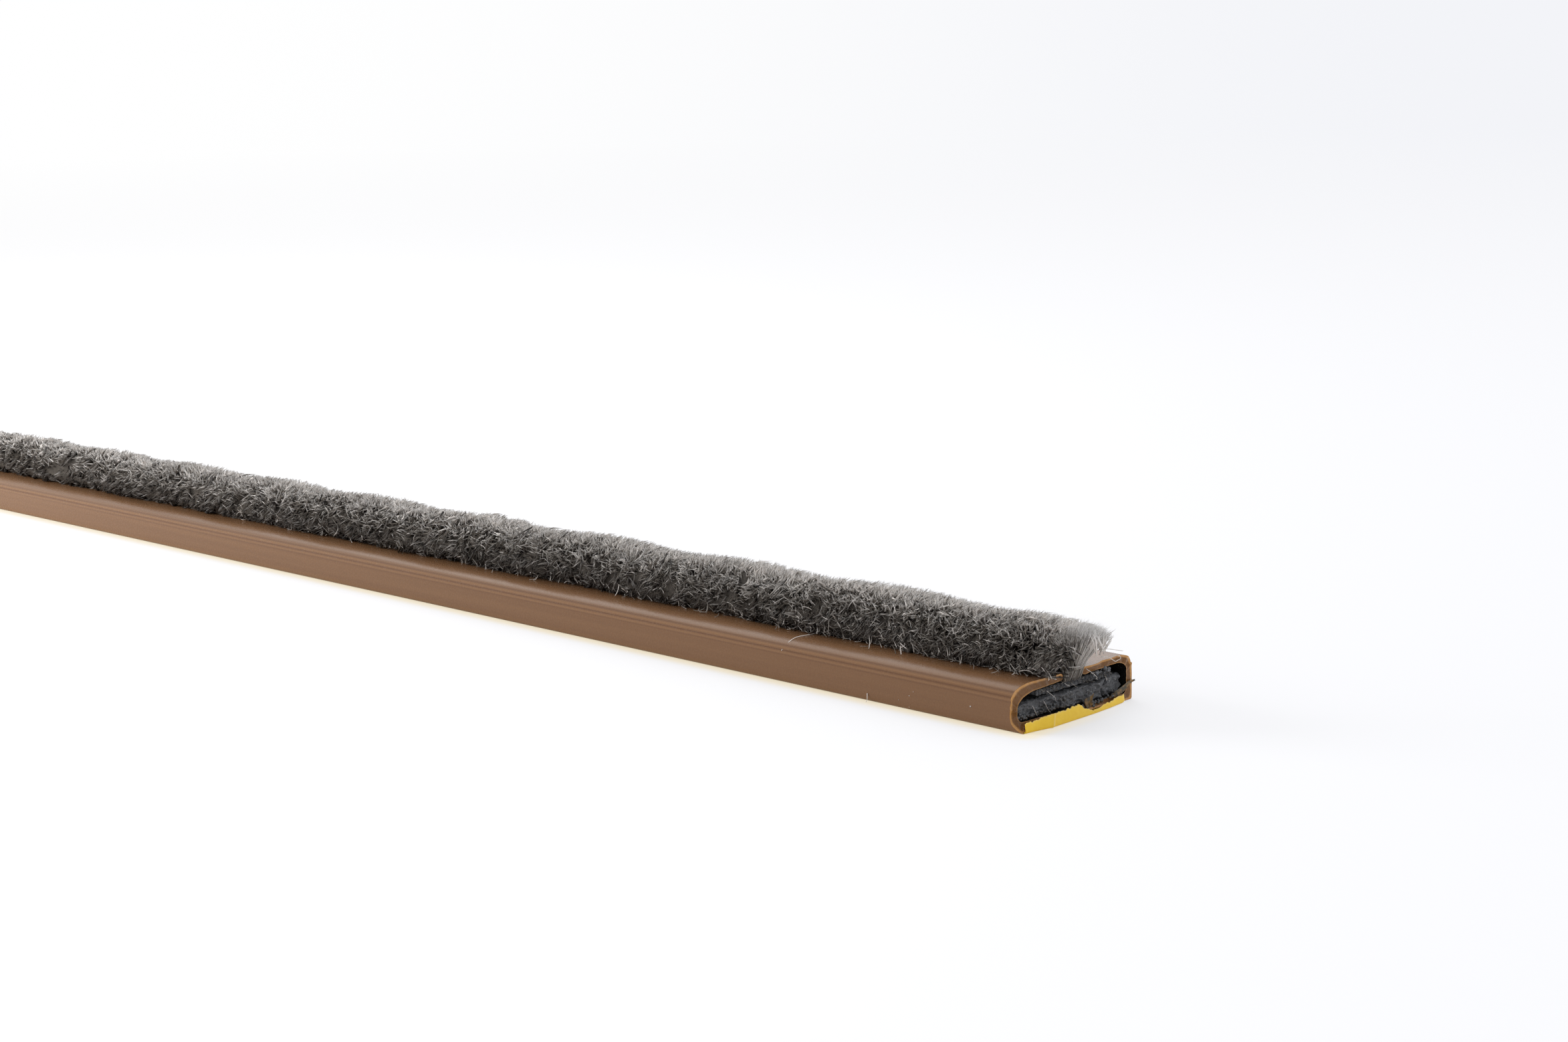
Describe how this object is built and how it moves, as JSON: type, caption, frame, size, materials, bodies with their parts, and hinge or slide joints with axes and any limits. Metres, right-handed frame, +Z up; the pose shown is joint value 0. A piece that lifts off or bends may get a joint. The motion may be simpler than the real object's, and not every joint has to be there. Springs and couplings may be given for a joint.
{
  "type": "fire door strip",
  "caption": "Length of fire and smoke seal: a plastic channel with an expanding graphite core and a brush standing through its slot.",
  "frame": {"origin": "middle of the underside, on the face of the release liner", "axes": "+X along the strip towards its raked cut end, +Y across it, +Z up through the slot, the way the brush stands"},
  "size_m": [0.3022, 0.015, 0.0084],
  "materials": {
    "carrier_pvc": "extruded satin brown PVC",
    "graphite_core": "pressed graphite sheet, grainy where cut",
    "woven_backing": "coated woven polypropylene",
    "pile_fibre": "fine grey polypropylene fibres",
    "tape_adhesive": "thin double-sided tape",
    "liner_paper": "coated yellow release paper"
  },
  "bodies": {
    "root": {"carrier": "carrier_pvc", "intumescent_core": "graphite_core", "pile_backing": "woven_backing", "brush_pile": "pile_fibre", "adhesive_tape": "tape_adhesive", "release_liner": "liner_paper"}
  },
  "joints": []
}
